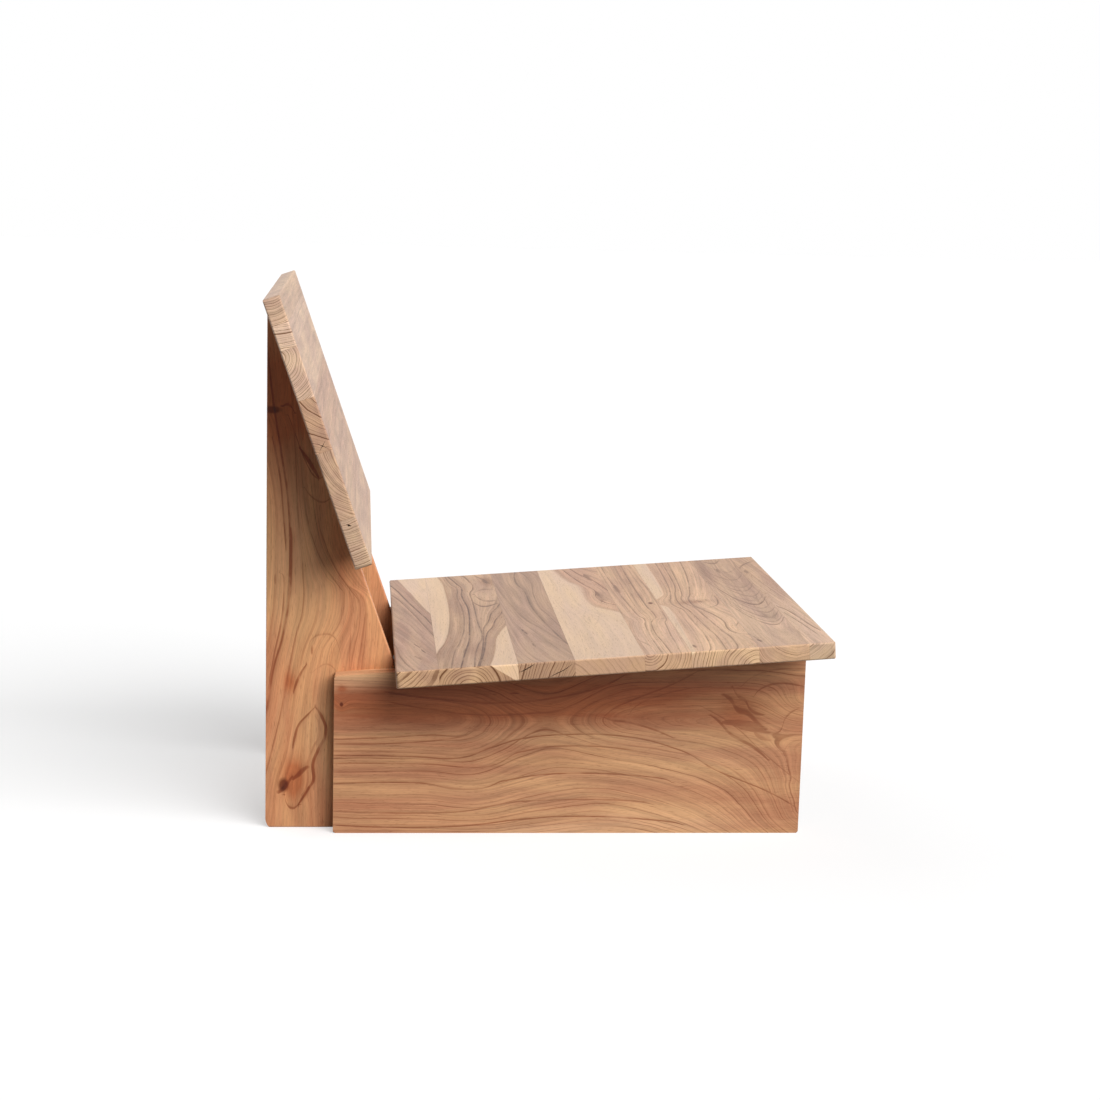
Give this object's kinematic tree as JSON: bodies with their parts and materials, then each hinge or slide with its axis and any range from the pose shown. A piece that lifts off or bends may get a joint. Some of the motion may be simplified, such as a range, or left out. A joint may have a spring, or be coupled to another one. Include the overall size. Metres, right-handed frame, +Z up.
{
  "type": "lounge chair",
  "caption": "Low armless lounge chair in solid teak: edge-glued seat and leaning backrest slabs on upright side panels and triangular rear legs.",
  "frame": {"origin": "on the floor, under the middle of the chair's bounding box", "axes": "+Z up, the chair faces -Y, X runs across it with the sitter's right on -X"},
  "size_m": [0.6, 0.7198, 0.6994],
  "materials": {
    "teak_rosy": "sanded smooth and thinly oiled, satin",
    "teak_ringed": "sanded smooth and thinly oiled, satin, strong growth rings",
    "teak_umber": "sanded smooth and thinly oiled, satin",
    "teak_cream": "sanded smooth and thinly oiled, satin, pale sapwood",
    "teak_grey": "sanded smooth and thinly oiled, satin",
    "teak_pale": "sanded smooth and thinly oiled, satin",
    "teak_warm": "sanded smooth and oiled, satin, long wavy figure",
    "teak_golden": "sanded smooth and oiled, satin, flowing upright figure",
    "teak_frame": "planed and sanded, matt",
    "screw_zinc": "bright zinc plate"
  },
  "bodies": {
    "root": {"seat_stave_1": "teak_rosy", "seat_stave_2": "teak_ringed", "seat_stave_3": "teak_umber", "seat_stave_4": "teak_cream", "seat_stave_5": "teak_rosy", "seat_stave_6": "teak_ringed", "seat_stave_7": "teak_grey", "seat_stave_8": "teak_umber", "back_stave_1": "teak_umber", "back_stave_2": "teak_pale", "back_stave_3": "teak_pale", "back_stave_4": "teak_rosy", "back_stave_5": "teak_pale", "back_stave_6": "teak_cream", "side_panel_right": "teak_warm", "side_panel_left": "teak_warm", "rear_leg_right": "teak_golden", "rear_leg_left": "teak_golden", "front_rail": "teak_frame", "rear_rail": "teak_frame", "seat_cleat_right": "teak_frame", "seat_cleat_left": "teak_frame", "back_cleat_right": "teak_frame", "back_cleat_left": "teak_frame", "seat_screws": "screw_zinc", "back_screws": "screw_zinc", "seat_cleat_screws": "screw_zinc", "back_cleat_screws": "screw_zinc", "leg_screws": "screw_zinc"}
  },
  "joints": []
}
